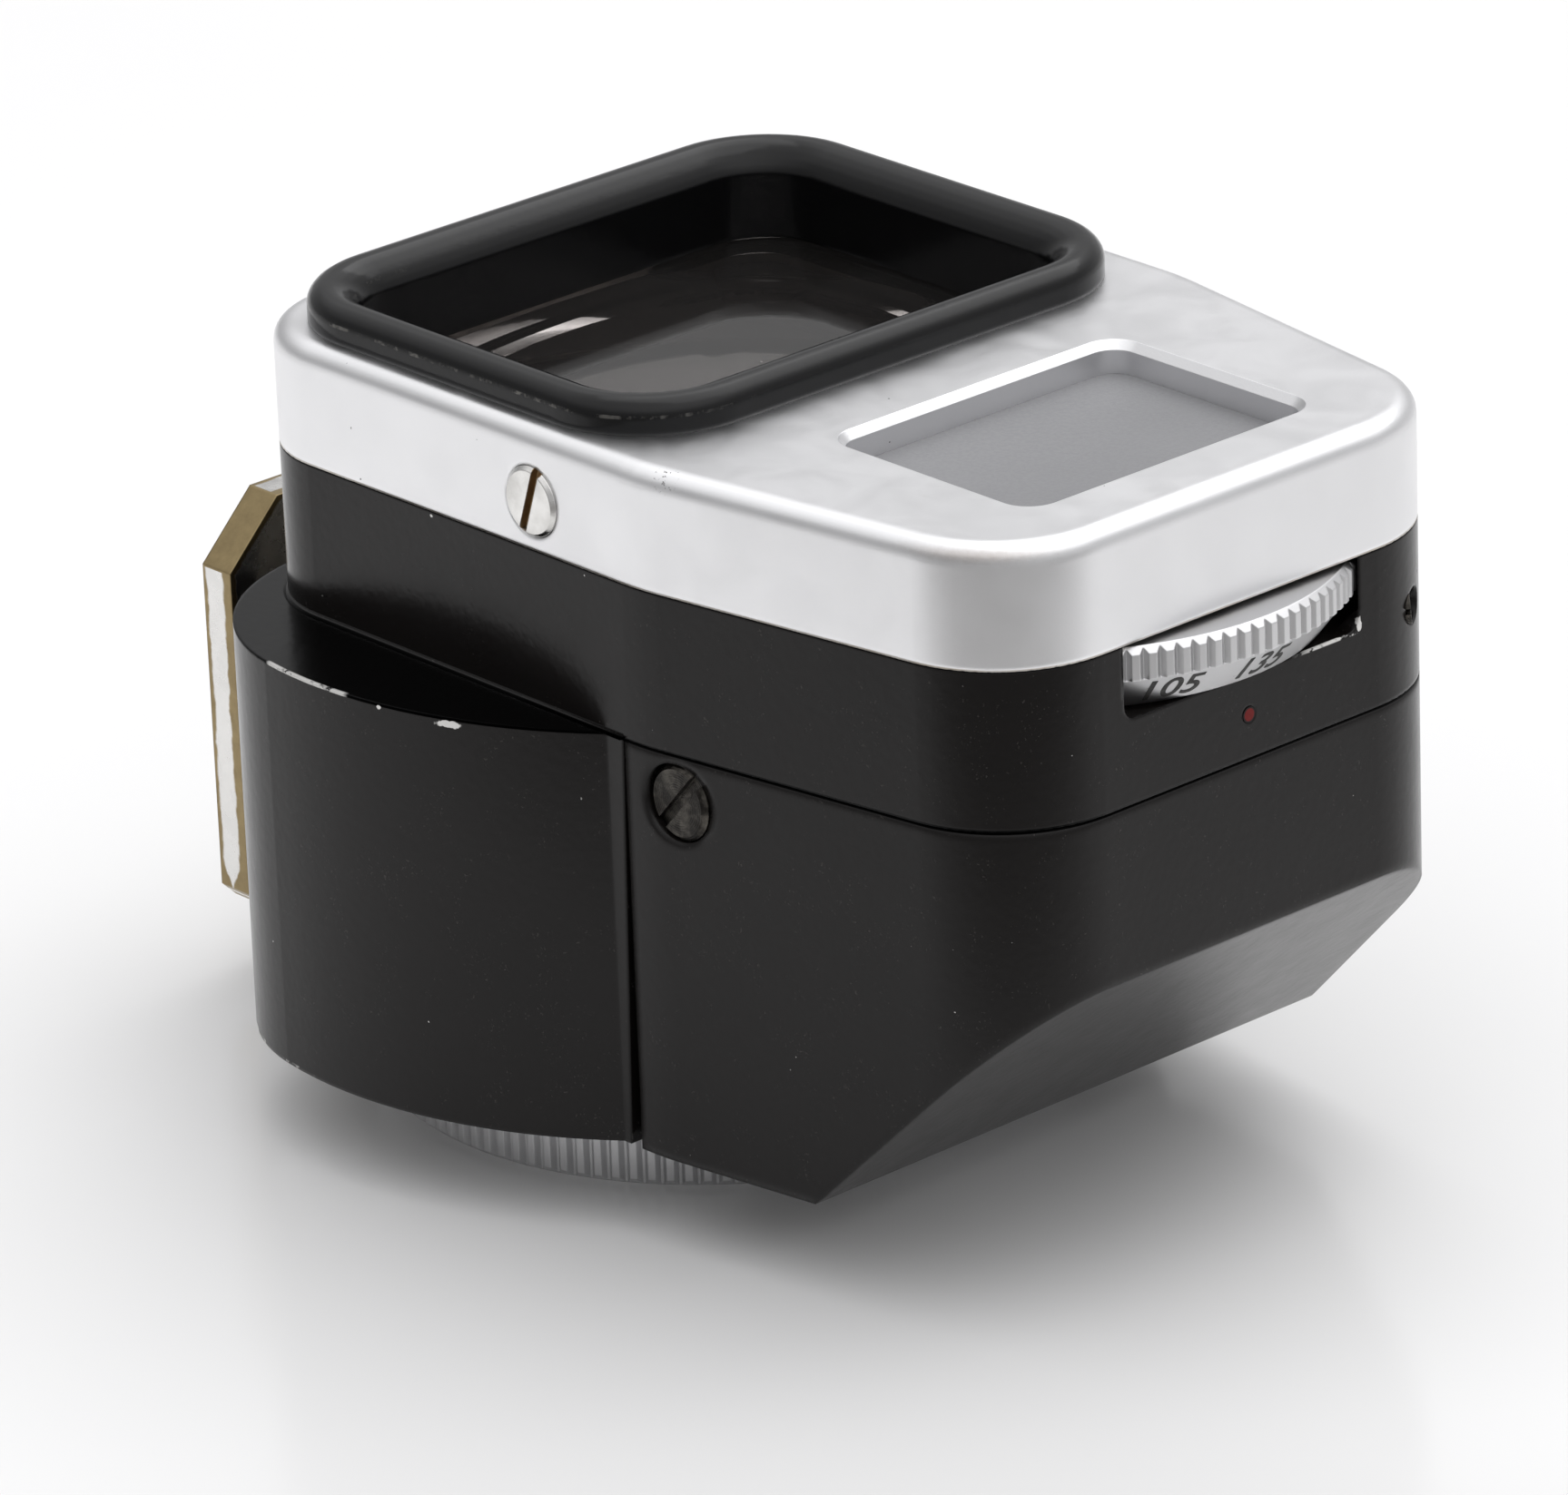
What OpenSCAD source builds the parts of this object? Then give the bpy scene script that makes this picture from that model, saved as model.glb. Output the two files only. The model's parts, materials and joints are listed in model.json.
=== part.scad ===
// Shoe-mounted camera viewfinder with a focal-length dial, standing on its eyepiece ring.
// +Z is the line of sight towards the subject, +X is away from the accessory shoe,
// and the origin is on the eyepiece axis at the rear face. All sizes are in millimetres.

/* [Housing] */
// Width across the flat sides
body_w = 30; // [29.6:0.1:30.6]
// Eyepiece axis to the flat face beside the foot
foot_face_x = 11.7; // [11.6:0.1:12]
// Eyepiece axis to the flat face that the dial comes out of
dial_face_x = 31.3; // [31.1:0.1:31.5]
// Where the sides begin to taper towards the dial end
taper_x = 13.2; // [12.8:0.1:13.6]
// Taper of each side
taper_deg = 9; // [8.5:0.1:9.2]
// Plan radius of the corners beside the foot
corner_r = 5; // [4.8:0.1:5.2]
// Plan radius of the corners at the dial end
dial_corner_r = 5.5; // [5.2:0.1:5.7]
// Height of the black housing's rear face
rear_z = 3.95; // [3.9:0.01:4]
// Height of the ledge and of the parting between middle band and rear cover
ledge_z = 21.6; // [21.5:0.1:21.7]
// Height of the parting between middle band and front cap
parting_z = 28.2; // [28.15:0.05:28.3]
// Height of the front cap's face
face_z = 33.25; // [33.2:0.05:33.4]
// Rounding of the front cap's edge
cap_fillet = 0.8; // [0.6:0.1:1]
// Wall of the front cap
cap_wall = 1.3; // [1.2:0.05:1.35]

/* [Barrel round the eyepiece] */
// Radius of the barrel
barrel_r = 19.65; // [19.55:0.05:19.8]
// Eyepiece axis to the barrel's centre, towards the foot
barrel_shift = 1.7; // [1.6:0.1:1.8]
// Eyepiece axis to the barrel's flat behind the foot
barrel_flat_x = 12.3; // [12.2:0.05:12.4]
// Radius that blends the barrel into its flat
barrel_blend_r = 9; // [8.5:0.1:9.2]

/* [Rear cover] */
// Front edge of the rear cover
cover_x = 12.05; // [12:0.01:12.1]
// Where the 45 degree slope meets the rear face
slope_x = 20.9; // [20.7:0.1:21.1]
// Wall of the rear cover
cover_wall = 1.5; // [1.4:0.05:1.6]

/* [Front window] */
// Height of the bezel above the cap
bezel_h = 1.45; // [1.3:0.05:1.5]
// Width of the bezel's rim
bezel_rim = 2.2; // [2.1:0.05:2.3]
// Height of the front lens's rim
lens_z = 30.7; // [30.6:0.05:30.8]
// Radius of the hollow in the back of the front lens
lens_curve_r = 44; // [42:1:46]

/* [Frame window] */
// Middle of the frosted window
window_x = 22.1; // [22:0.1:22.2]
// Opening of the frosted window along X
window_l = 11; // [10.6:0.1:11.2]
// Opening of the frosted window across the body
window_w = 15.1; // [14.8:0.1:15.2]

/* [Focal-length dial] */
// Eyepiece axis to the dial's axis
dial_x = 21.1; // [21:0.05:21.2]
// Radius of the dial
dial_r = 11.85; // [11.75:0.05:11.9]
// Top of the dial
dial_top_z = 28; // [27.95:0.01:28.02]
// Number of knurls on the dial
dial_teeth = 108; // [72:2:120]
// Width of the slot that the dial shows through
slot_w = 12.7; // [12.5:0.1:12.9]
// Turn between neighbouring focal lengths
stop_deg = 21.6; // [20:0.1:22]

/* [Parallax ring] */
// Radius of the knurled ring
ring_r = 14.5; // [14.45:0.05:14.6]
// Number of knurls on the ring
ring_teeth = 120; // [90:2:132]
// Distance that the spiral groove carries the foot's pin
cam_rise = 0.62; // [0.5:0.01:0.64]

/* [Accessory foot] */
// Width of the foot, set by the accessory shoe
foot_w = 18.6; // [18.4:0.1:18.7]
// Length of the foot
foot_l = 18; // [17.6:0.1:18.2]
// Thickness of the foot
foot_t = 1.8; // [1.7:0.05:1.9]
// Eyepiece axis to the foot's outer face
foot_x = 21.2; // [21:0.1:21.4]
// Rear end of the foot
foot_z = 3.1; // [3.05:0.05:3.2]
// Corner chamfer at the front of the foot
foot_chamfer = 2.75; // [2.5:0.05:3]

/* [Hidden] */

$fn = 96;
eps = 0.01;
gap = 0.05;
run_fit = 0.05;

// Plan outline of the housing
bend_r = 12;
bend_l = bend_r * tan(taper_deg / 2);
side_y = body_w / 2;
foot_corner = [-foot_face_x + corner_r, -(side_y - corner_r)];
bend_centre = [taper_x - bend_l, -(side_y - bend_r)];
dial_corner_x = dial_face_x - dial_corner_r;
dial_corner_y = -side_y + (dial_corner_r + (dial_corner_x - taper_x) * sin(taper_deg)) / cos(taper_deg);
dial_corner = [dial_corner_x, dial_corner_y];
taper_normal = [sin(taper_deg), -cos(taper_deg)];

// Plan outline of the barrel
blend_x = -barrel_flat_x + barrel_blend_r;
blend_y = sqrt(pow(barrel_r - barrel_blend_r, 2) - pow(blend_x + barrel_shift, 2));
blend_ratio = barrel_r / (barrel_r - barrel_blend_r);
blend_tip = [(blend_x + barrel_shift) * blend_ratio - barrel_shift, -blend_y * blend_ratio];

// Inside of the housing
shaft_back_x = 9;
shaft_front_x = 8.3;
shaft_w = 23.4;
chamber_r = dial_r + 0.15;
chamber_z = 23.4;
boss_r = 8.9;
boss_z = 25.4;
skirt_r = 9.6;
slot_z = 25.1;
light_l = 10.4;
light_w = 13.4;
upstand_t = 1;
upstand_z = 31;
upstand_inset = cap_wall + gap;
plate_t = 0.4;
barrel_wall = 2.7;
floor_z = rear_z + 2.55;
groove_deg = 1.8;
lug_x = 12.3;
lug_y0 = 11;
lug_y1 = 12.9;
lug_z = 17.6;

// Windows and lens
pane_z = face_z - 2.55;
bezel_x0 = -10.8;
bezel_x1 = 12.5;
bezel_w = 27.85;
bezel_r = 5;
sleeve_t = 0.7;
lens_margin = 0.7;
lens_sag = 1.55;

// Fasteners
cap_screw_x = 7.1;
cap_screw_z = 30.25;
cap_screw_r = 1.47;
cover_screw_x = 14.75;
cover_screw_z = 19.55;
cover_screw_r = 1.6;
cover_screw_head = 0.7;
cover_screw_seat = 0.95;
thread_r = 0.8;
plate_screw_places = [[12.6, -11.4], [12.6, 11.4]];
detent_xy = [30.69, 10.01];
detent_z = 24.95;
detent_deg = atan2(detent_xy[1], detent_xy[0] - dial_x);
detent_tilt = 5;
detent_reach = norm(detent_xy - [dial_x, 0]) / cos(detent_tilt);
detent_screw_r = 0.75;
detent_screw_l = 1.3;
ball_r = 0.36;
ball_t = (skirt_r + ball_r + 0.04) / cos(detent_tilt);

// Light path of the frames
beam_z = 12.7;
mirror_t = 1.2;
mirror_l = 12;
mirror_w = 17;
splitter_t = 0.8;
splitter_l = 13.4;
splitter_w = 17;

// Eyepiece
cell_r = 8.9;
cell_bore_r = 7;
cell_flange_r = 12.2;
cell_top_z = 7;
ring_bore_r = 10.5;
ring_top_z = 3.75;
eye_lens_r = 7.8;
eye_lens_z = 3.1;
eye_lens_t = 2.8;

// Tilting foot
pivot_x = -14.6;
pivot_z = 18;
pivot_r = 0.8;
ear_y0 = 4.4;
ear_y1 = 6.2;
ear_r = 2.1;
knuckle_y = 4.25;
cam_pin_r = 0.45;
cam_r0 = 12.95;
cam_turn = 150;
groove_half = 0.53;
groove_z = 2.7;
foot_hole_y = 3.6;
foot_hole_z = [7.2, 17.4];
foot_shank_r = 0.85;
foot_shank_l = 3.2;

function mirrored(half) = concat(
    half, [for (i = [len(half) - 1 : -1 : 0]) [half[i][0], -half[i][1]]]
);

module both_sides() {
    children();
    mirror([0, 1, 0]) children();
}

// Rounded rectangle between x0 and x1, centred on the X axis
module round_rect(x0, x1, w, r) {
    polygon([
        [x0 + r, -w / 2], [x1 - r, -w / 2], [x1, -w / 2 + r], [x1, w / 2 - r],
        [x1 - r, w / 2], [x0 + r, w / 2], [x0, w / 2 - r], [x0, -w / 2 + r]
    ]);
    for (x = [x0 + r, x1 - r], y = [-w / 2 + r, w / 2 - r]) {
        translate([x, y]) circle(r);
    }
}

// Housing seen from the front, moved inwards by inset
module outline(inset = 0) {
    r1 = corner_r - inset;
    r2 = bend_r - inset;
    r3 = dial_corner_r - inset;
    polygon(mirrored([
        foot_corner + r1 * [-1, 0], foot_corner + r1 * [0, -1],
        bend_centre + r2 * [0, -1], bend_centre + r2 * taper_normal,
        dial_corner + r3 * taper_normal, dial_corner + r3 * [1, 0]
    ]));
    both_sides() {
        translate(foot_corner) circle(r1);
        translate(bend_centre) circle(r2);
        translate(dial_corner) circle(r3);
    }
}

// Barrel seen from the front, cut off at the rear cover
module barrel_outline() {
    intersection() {
        translate([-barrel_shift, 0]) circle(barrel_r);
        translate([blend_tip[0], -barrel_r]) square([cover_x - blend_tip[0] - 0.1, 2 * barrel_r]);
    }
    polygon(mirrored([blend_tip, [-barrel_flat_x, -blend_y]]));
    both_sides() translate([blend_x, -blend_y]) circle(barrel_blend_r);
    translate([0, -side_y]) square([cover_x - 0.1, body_w]);
}

// Everything above the 45 degree plane that crosses the X axis at x and z = 0
module above_slope(x) {
    translate([x, 0, 0]) rotate([0, -45, 0]) translate([-100, -50, 0]) cube([200, 100, 100]);
}

// Ring of ribs for a knurled edge: crest and root are shares of a rib's pitch
module knurled_circle(r, teeth, depth, crest, root) {
    step = 360 / teeth;
    flank = (1 - crest - root) / 2;
    rib = [[0, r], [crest, r], [crest + flank, r - depth], [1 - flank, r - depth]];
    polygon([
        for (i = [0 : teeth - 1], p = rib)
            p[1] * [cos((i + p[0]) * step), sin((i + p[0]) * step)]
    ]);
}

// Slotted cheese head with its shank, head up, top of the head at z = 0
module slotted_screw(head_r, head_t, shank_r, shank_l, slot_t, slot_deg, dome) {
    difference() {
        rotate_extrude() polygon([
            [0, -head_t - shank_l], [shank_r, -head_t - shank_l], [shank_r, -head_t],
            [head_r, -head_t], [head_r, -dome], [head_r - dome, 0], [0, 0]
        ]);
        rotate([0, 0, slot_deg]) translate([-head_r - 1, -slot_t / 2, -head_t * 0.45]) {
            cube([2 * head_r + 2, slot_t, head_t]);
        }
    }
}

module main_casting() {
    color([0.11, 0.11, 0.11]) difference() {
        union() {
            translate([0, 0, ledge_z]) linear_extrude(parting_z - ledge_z) outline();
            barrel();
            casting_upstand();
            both_sides() translate([lug_x, -lug_y1, lug_z]) {
                cube([4.1, lug_y1 - lug_y0, ledge_z - lug_z + eps]);
            }
            both_sides() pivot_ear();
            translate([0, 0, 1.15]) cylinder(h = rear_z - 1.15 + eps, r = ring_bore_r - run_fit);
        }
        casting_hollows();
        casting_holes();
    }
}

// Barrel, whose end is slanted to leave a groove beside the rear cover
module barrel() {
    difference() {
        translate([0, 0, rear_z]) linear_extrude(ledge_z - rear_z) barrel_outline();
        translate([cover_x - 0.1, -25, ledge_z - 0.02]) rotate([0, groove_deg, 0]) {
            translate([0, 0, -30]) cube([5, 50, 30]);
        }
    }
}

// Wall that stands up inside the front cap
module casting_upstand() {
    translate([0, 0, parting_z - eps]) linear_extrude(upstand_z - parting_z + eps) {
        difference() {
            outline(upstand_inset);
            outline(upstand_inset + upstand_t);
        }
    }
}

// Ear that carries the foot's pivot pin
module pivot_ear() {
    translate([pivot_x, ear_y0, pivot_z - ear_r]) {
        cube([-pivot_x - barrel_flat_x + 1, ear_y1 - ear_y0, 2 * ear_r]);
    }
    translate([pivot_x, ear_y0, pivot_z]) rotate([-90, 0, 0]) {
        cylinder(h = ear_y1 - ear_y0, r = ear_r);
    }
}

module casting_hollows() {
    // Shaft behind the front lens
    translate([0, 0, ledge_z - 1.7]) linear_extrude(parting_z - ledge_z + 1.8) {
        round_rect(-shaft_back_x, shaft_front_x, shaft_w, 2);
    }
    // Room inside the barrel
    translate([0, 0, floor_z]) linear_extrude(ledge_z - 1.6 - floor_z) intersection() {
        circle(barrel_r - barrel_wall);
        translate([-shaft_back_x, -20]) square([shaft_back_x + 9.2, 40]);
    }
    // Way through to the rear cover
    translate([8, -8.6, floor_z]) cube([8, 17.2, 12.2]);
    // Dial chamber, bearing boss and light shaft
    translate([dial_x, 0, 0]) rotate_extrude() polygon([
        [boss_r, chamber_z], [skirt_r + 0.15, chamber_z], [skirt_r + 0.15, slot_z],
        [chamber_r - 0.85, slot_z], [chamber_r, slot_z + 0.9], [chamber_r, parting_z + 1],
        [0, parting_z + 1], [0, boss_z], [boss_r, boss_z]
    ]);
    translate([dial_x - light_l / 2, -light_w / 2, ledge_z - 1]) cube([light_l, light_w, 8]);
    // Slot that the dial shows through
    translate([28, 0, slot_z]) rotate([90, 0, 90]) linear_extrude(6) {
        polygon([
            [-slot_w / 2 + 0.6, 0], [slot_w / 2 - 0.6, 0], [slot_w / 2, 0.6], [slot_w / 2, 4],
            [-slot_w / 2, 4], [-slot_w / 2, 0.6]
        ]);
        for (y = [-1, 1]) translate([y * (slot_w / 2 - 0.6), 0.6]) circle(0.6);
    }
}

module casting_holes() {
    // Threads for the eyepiece cell and the screws
    translate([0, 0, 0.5]) cylinder(h = 12, r = cell_r);
    both_sides() for (p = [[cap_screw_x, cap_screw_z], [cover_screw_x, cover_screw_z]]) {
        translate([p[0], 0, p[1]]) rotate([90, 0, 0]) cylinder(h = 20, r = thread_r);
    }
    for (p = plate_screw_places) translate([p[0], p[1], parting_z - 2.2]) cylinder(h = 3, r = 0.6);
    // Bore for the click stop
    on_detent_axis(skirt_r) cylinder(h = 6, r = ball_r + 0.04);
    on_detent_axis(detent_reach - detent_screw_l) cylinder(h = 6, r = detent_screw_r);
    // Pin hole through the ears
    translate([pivot_x, -10, pivot_z]) rotate([-90, 0, 0]) cylinder(h = 20, r = pivot_r);
    // Seat of the index dot
    translate([dial_face_x - 0.3, 0.3, 23.4]) rotate([0, 90, 0]) cylinder(h = 2, r = 0.33);
}

module front_cap() {
    color([0.82, 0.82, 0.83]) difference() {
        union() {
            translate([0, 0, parting_z]) linear_extrude(face_z - cap_fillet - parting_z) outline();
            hull() for (a = [0 : 15 : 90]) {
                translate([0, 0, face_z - cap_fillet - eps + cap_fillet * sin(a)]) linear_extrude(eps) {
                    outline(cap_fillet * (1 - cos(a)));
                }
            }
        }
        translate([0, 0, parting_z - 1]) linear_extrude(face_z - 1.35 - parting_z + 1) outline(cap_wall);
        translate([0, 0, face_z - 3]) linear_extrude(5) sleeve_outline(sleeve_t + gap);
        translate([0, 0, face_z - 3]) linear_extrude(5) window_outline(0);
        hull() {
            translate([0, 0, face_z - 0.35]) linear_extrude(eps) window_outline(0);
            translate([0, 0, face_z + eps]) linear_extrude(eps) window_outline(0.3);
        }
        both_sides() translate([cap_screw_x, 0, cap_screw_z]) rotate([90, 0, 0]) {
            cylinder(h = 20, r = 0.9);
            translate([0, 0, side_y - 0.75]) cylinder(h = 3, r = cap_screw_r + 0.03);
        }
    }
}

// Opening over the frosted window, moved outwards by grow
module window_outline(grow) {
    x0 = window_x - window_l / 2 - grow;
    x1 = window_x + window_l / 2 + grow;
    round_rect(x0, x1, window_w + 2 * grow, 1.1 + grow);
}

// Outside of the bezel's sleeve, t outwards of its opening
module sleeve_outline(t) {
    round_rect(
        bezel_x0 + bezel_rim - t, bezel_x1 - bezel_rim + t, bezel_w - 2 * bezel_rim + 2 * t,
        bezel_r - bezel_rim + t
    );
}

// Sweeps a profile of insets and heights round a rounded rectangle centred on the X axis
module rim_sweep(x0, x1, w, r, profile) {
    for (x = [x0 + r, x1 - r], y = [-w / 2 + r, w / 2 - r]) {
        turn = y < 0 ? (x < 0 ? 180 : 270) : (x < 0 ? 90 : 0);
        translate([x, y, 0]) rotate([0, 0, turn]) rotate_extrude(angle = 90) {
            polygon([for (p = profile) [r - p[0], p[1]]]);
        }
    }
    for (side = [-1, 1]) {
        translate([x0 + r, 0, 0]) rotate([90, 0, 90]) linear_extrude(x1 - x0 - 2 * r) {
            polygon([for (p = profile) [side * (w / 2 - p[0]), p[1]]]);
        }
        middle = (x0 + x1) / 2;
        translate([middle, w / 2 - r, 0]) rotate([90, 0, 0]) linear_extrude(w - 2 * r) {
            polygon([for (p = profile) [side * ((x1 - x0) / 2 - p[0]), p[1]]]);
        }
    }
}

module window_bezel() {
    k = bezel_h / 1.45;
    q = bezel_rim / 2.2;
    rim = [
        [0, 0], [0, 0.75], [0.04, 0.92], [0.14, 1.1], [0.3, 1.27], [0.52, 1.4], [0.8, 1.45],
        [1.1, 1.42], [1.4, 1.3], [1.68, 1.1], [1.9, 0.85], [2.08, 0.56], [2.2, 0.3]
    ];
    profile = concat(
        [for (p = rim) [p[0] * q, face_z + p[1] * k]],
        [[bezel_rim, lens_z], [bezel_rim - sleeve_t, lens_z], [bezel_rim - sleeve_t, face_z]]
    );
    color([0.06, 0.06, 0.06]) rim_sweep(bezel_x0, bezel_x1, bezel_w, bezel_r, profile);
}

module front_lens() {
    color([0.55, 0.55, 0.58, 0.4]) difference() {
        translate([0, 0, parting_z + plate_t]) linear_extrude(lens_z - parting_z - plate_t) {
            sleeve_outline(lens_margin);
        }
        translate([0.85, 0, parting_z + plate_t + lens_sag - lens_curve_r]) sphere(lens_curve_r, $fn = 200);
    }
}

// Plate that carries the front lens and keeps the dial down
module inner_plate() {
    color([0.12, 0.12, 0.12]) difference() {
        translate([0, 0, parting_z]) linear_extrude(plate_t) difference() {
            outline(upstand_inset + upstand_t + gap);
            round_rect(-shaft_back_x + 0.6, shaft_front_x, shaft_w - 1, 2);
            window_outline(0.1);
        }
        for (p = plate_screw_places) translate([p[0], p[1], 0]) cylinder(h = 50, r = 0.65);
    }
}

module frosted_window() {
    color([0.72, 0.72, 0.74, 0.8]) translate([0, 0, pane_z]) linear_extrude(1.2) window_outline(0.9);
}

module pane_frame() {
    foot = parting_z + plate_t;
    color([0.55, 0.53, 0.5]) translate([0, 0, foot]) linear_extrude(pane_z - foot) difference() {
        window_outline(1.3);
        window_outline(-0.25);
    }
}

module focal_dial() {
    top = dial_top_z;
    band_z = top - 1.35;
    under_z = slot_z + 0.1;
    skirt_z = chamber_z + 0.15;
    notch_t = (skirt_r + ball_r - 0.1) / cos(detent_tilt);
    color([0.8, 0.8, 0.81]) translate([dial_x, 0, 0]) difference() {
        union() {
            intersection() {
                translate([0, 0, band_z]) linear_extrude(3) {
                    knurled_circle(dial_r, dial_teeth, 0.2, 0.45, 0.05);
                }
                rotate_extrude() polygon([
                    [0, 0], [dial_r + 1, 0], [dial_r + 1, top - 1.28], [dial_r - 0.28, top], [0, top]
                ]);
            }
            rotate_extrude() polygon([
                [0, skirt_z], [skirt_r, skirt_z], [skirt_r, under_z], [dial_r - 1.2, under_z],
                [dial_r - 0.12, band_z], [dial_r - 0.6, band_z], [dial_r - 0.6, top - 0.5], [0, top - 0.5]
            ]);
        }
        translate([0, 0, chamber_z]) cylinder(h = top - 1.4 - chamber_z, r = boss_r + run_fit);
        translate([0, 0, top - 2]) cylinder(h = 3, r = 8.1);
        // Click notches, one for each focal length
        for (i = [0 : 3]) {
            rotate([0, 0, -i * stop_deg]) {
                translate([-dial_x, 0, 0]) on_detent_axis(notch_t) sphere(ball_r);
            }
        }
    }
}

// Thin disc whose openings uncover one set of frame corners at a time
module selector_disc() {
    frame_r = [3.3, 4.6, 5.9, 7.4];
    corner_deg = 54;
    color([0.1, 0.1, 0.1]) translate([dial_x, 0, dial_top_z - 1.4 - 0.3]) difference() {
        cylinder(h = 0.3, r = boss_r);
        for (i = [0 : 3], a = [corner_deg, 180 - corner_deg, 180 + corner_deg, -corner_deg]) {
            rotate([0, 0, a - i * stop_deg]) translate([frame_r[i], 0, -1]) cylinder(h = 3, r = 0.62);
        }
        translate([0, 0, -1]) cylinder(h = 3, r = 0.5);
    }
}

module frame_reticle() {
    color([0.6, 0.62, 0.6, 0.6]) translate([dial_x, 0, boss_z]) cylinder(h = 0.8, r = boss_r - 0.1);
}

module index_dot() {
    color([0.7, 0.05, 0.05]) translate([dial_face_x - 0.3, 0.3, 23.4]) rotate([0, 90, 0]) {
        cylinder(h = 0.32, r = 0.33);
    }
}

// Places a shape on the click-stop axis, which slants, its origin t away from the dial's axis
module on_detent_axis(t) {
    translate([dial_x, 0, detent_z - detent_reach * sin(detent_tilt)]) {
        rotate([0, 90 - detent_tilt, detent_deg]) translate([0, 0, t]) children();
    }
}

module detent_screw() {
    color([0.12, 0.12, 0.12]) on_detent_axis(detent_reach - 0.12) difference() {
        translate([0, 0, 0.12 - detent_screw_l]) cylinder(h = detent_screw_l - 0.12, r = detent_screw_r);
        translate([-0.12, -2, -0.35]) cube([0.24, 4, 1]);
    }
}

// Close-wound spring behind the ball
module detent_spring() {
    turns = 12;
    start = ball_t + ball_r + 0.02;
    pitch = (detent_reach - detent_screw_l - 0.02 - start) / turns;
    color([0.6, 0.6, 0.6]) on_detent_axis(start) rotate_extrude() polygon(concat(
        [[0.15, 0]],
        [for (i = [0 : 2 * turns]) [i % 2 == 0 ? 0.28 : 0.36, i * pitch / 2]],
        [[0.15, turns * pitch]]
    ));
}

module detent_ball() {
    color([0.75, 0.75, 0.76]) on_detent_axis(ball_t) sphere(ball_r);
}

module cap_screws() {
    color([0.75, 0.75, 0.76]) both_sides() {
        translate([cap_screw_x, -side_y - 0.18, cap_screw_z]) rotate([90, 0, 0]) {
            slotted_screw(cap_screw_r, 0.9, thread_r, 1.6, 0.42, 71, 0.16);
        }
    }
}

module cover_screws() {
    top_y = -side_y + cover_screw_seat - cover_screw_head;
    color([0.2, 0.19, 0.18]) both_sides() {
        translate([cover_screw_x, top_y, cover_screw_z]) rotate([90, 0, 0]) {
            slotted_screw(cover_screw_r, cover_screw_head, thread_r, 2.4, 0.5, 48, 0.2);
        }
    }
}

module plate_screws() {
    color([0.75, 0.6, 0.3]) for (p = plate_screw_places) {
        translate([p[0], p[1], parting_z + plate_t + 0.35]) slotted_screw(0.95, 0.35, 0.6, 2, 0.2, 30, 0.08);
    }
}

module beam_splitter() {
    color([0.6, 0.65, 0.62, 0.5]) translate([0, 0, beam_z]) rotate([0, -45, 0]) {
        translate([-splitter_l / 2, -splitter_w / 2, 0]) cube([splitter_l, splitter_w, splitter_t]);
    }
}

// Base plate with two cheeks that hold the beam splitter at 45 degrees
module splitter_holder() {
    cheek_t = 0.8;
    base_w = splitter_w + 2 * (cheek_t + gap);
    half = splitter_l / 2 * sqrt(0.5);
    color([0.1, 0.1, 0.1]) {
        difference() {
            translate([-8.6, -base_w / 2, cell_top_z]) cube([17.2, base_w, 0.5]);
            translate([0, 0, cell_top_z - 1]) cylinder(h = 3, r = cell_bore_r + 0.8);
        }
        both_sides() translate([0, -splitter_w / 2 - gap, 0]) rotate([90, 0, 0]) linear_extrude(cheek_t) {
            polygon([
                [-half - 1.2, cell_top_z + eps], [half + 1, cell_top_z + eps], [half + 1, beam_z + half + 1],
                [half - 0.4, beam_z + half + 1], [-half - 1.2, beam_z - half + 0.4]
            ]);
        }
    }
}

// Slab under the 45 degree mirror plane, from depth to depth + t below it
module mirror_slab(depth, t, l, w) {
    translate([window_x, 0, beam_z]) rotate([0, -45, 0]) {
        translate([-l / 2, -w / 2, -depth - t]) cube([l, w, t]);
    }
}

module frame_mirror() {
    color([0.8, 0.82, 0.85]) mirror_slab(0, mirror_t, mirror_l, mirror_w);
}

module mirror_holder() {
    back = (slope_x - rear_z - window_x + beam_z) * sqrt(0.5) - cover_wall;
    color([0.3, 0.3, 0.3]) difference() {
        mirror_slab(0.4, back - 0.4, mirror_l, mirror_w + 1.6);
        mirror_slab(-1, mirror_t + 1, mirror_l + 1, mirror_w);
    }
}

module eyepiece_lens() {
    color([0.6, 0.62, 0.65, 0.4]) intersection() {
        translate([0, 0, eye_lens_z]) cylinder(h = eye_lens_t, r = eye_lens_r - 0.03);
        translate([0, 0, eye_lens_z + eye_lens_t - 40]) sphere(40, $fn = 200);
    }
}

module eyepiece_cell() {
    color([0.08, 0.08, 0.08]) rotate_extrude() polygon([
        [cell_bore_r, 0], [cell_flange_r - 0.3, 0], [cell_flange_r, 0.3], [cell_flange_r, 1.1],
        [cell_r, 1.1], [cell_r, cell_top_z], [eye_lens_r, cell_top_z], [eye_lens_r, eye_lens_z],
        [cell_bore_r, eye_lens_z]
    ]);
}

module eyepiece_retainer() {
    color([0.1, 0.1, 0.1]) translate([0, 0, eye_lens_z + eye_lens_t]) rotate_extrude() polygon([
        [cell_bore_r, -0.6], [eye_lens_r, -0.75], [eye_lens_r, 0.9], [cell_bore_r + 0.2, 0.9]
    ]);
}

// Radius of the spiral groove at the angle a of the ring
function groove_r(a) = cam_r0 + cam_rise * (180 - a) / cam_turn;

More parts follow.
